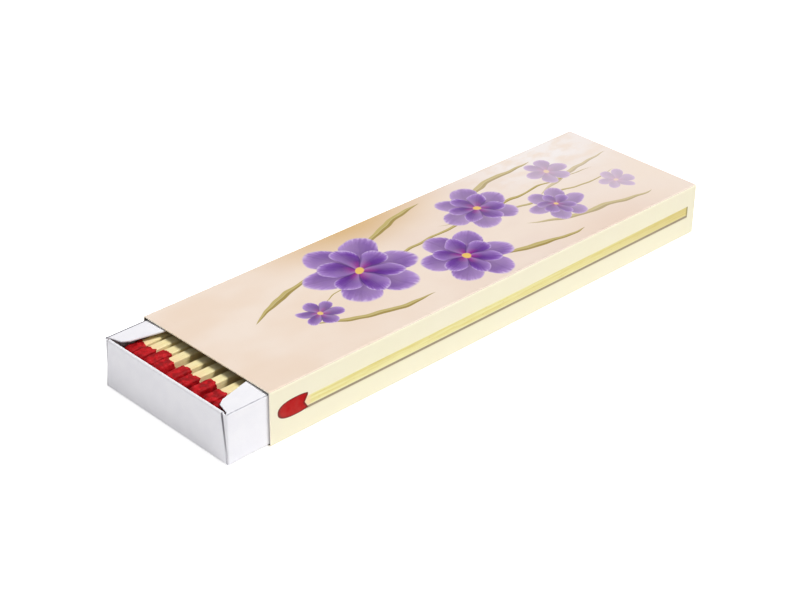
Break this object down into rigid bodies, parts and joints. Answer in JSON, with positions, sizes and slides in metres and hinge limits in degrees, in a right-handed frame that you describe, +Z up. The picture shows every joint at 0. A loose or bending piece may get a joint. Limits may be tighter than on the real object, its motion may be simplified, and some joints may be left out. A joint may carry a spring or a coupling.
{
  "type": "box of fireplace matches",
  "caption": "Long flat card matchbox: a printed sleeve open at both ends, with a white folded tray drawn part way out and long wooden matches with red heads lying in it.",
  "frame": {"origin": "middle of the sleeve's underside", "axes": "+X along the box to its far end, the tray is drawn out towards -X; +Y to the striking side; +Z up"},
  "size_m": [0.2306, 0.0651, 0.0207],
  "materials": {
    "printed_card": "printed, lightly coated card, satin",
    "white_card": "white card, matt",
    "striking_surface": "dark brown abrasive coat on card, matt and gritty",
    "splint_wood": "plain pale aspen, sawn",
    "head_composition": "red dipped match composition, dull and lumpy"
  },
  "bodies": {
    "sleeve": {"sleeve": "printed_card", "striking_strip": "striking_surface"},
    "tray": {"lower_heads": "head_composition", "lower_sticks": "splint_wood", "match_a01_head": "head_composition", "match_a01_stick": "splint_wood", "match_a02_head": "head_composition", "match_a02_stick": "splint_wood", "match_a03_head": "head_composition", "match_a03_stick": "splint_wood", "match_a04_head": "head_composition", "match_a04_stick": "splint_wood", "match_a05_head": "head_composition", "match_a05_stick": "splint_wood", "match_a06_head": "head_composition", "match_a06_stick": "splint_wood", "match_a07_head": "head_composition", "match_a07_stick": "splint_wood", "match_a08_head": "head_composition", "match_a08_stick": "splint_wood", "match_a09_head": "head_composition", "match_a09_stick": "splint_wood", "match_b01_head": "head_composition", "match_b01_stick": "splint_wood", "match_b02_head": "head_composition", "match_b02_stick": "splint_wood", "match_b03_head": "head_composition", "match_b03_stick": "splint_wood", "match_b04_head": "head_composition", "match_b04_stick": "splint_wood", "match_b05_head": "head_composition", "match_b05_stick": "splint_wood", "match_b06_head": "head_composition", "match_b06_stick": "splint_wood", "match_b07_head": "head_composition", "match_b07_stick": "splint_wood", "match_b08_head": "head_composition", "match_b08_stick": "splint_wood", "match_b09_head": "head_composition", "match_b09_stick": "splint_wood", "match_b10_head": "head_composition", "match_b10_stick": "splint_wood", "match_b11_head": "head_composition", "match_b11_stick": "splint_wood", "match_b12_head": "head_composition", "match_b12_stick": "splint_wood", "match_b13_head": "head_composition", "match_b13_stick": "splint_wood", "tray": "white_card"}
  },
  "joints": [
    {"name": "tray_slide", "type": "slide", "parent": "sleeve", "child": "tray", "axis": [1, 0, 0], "range_m": [-0.1226, 0.1578]}
  ]
}
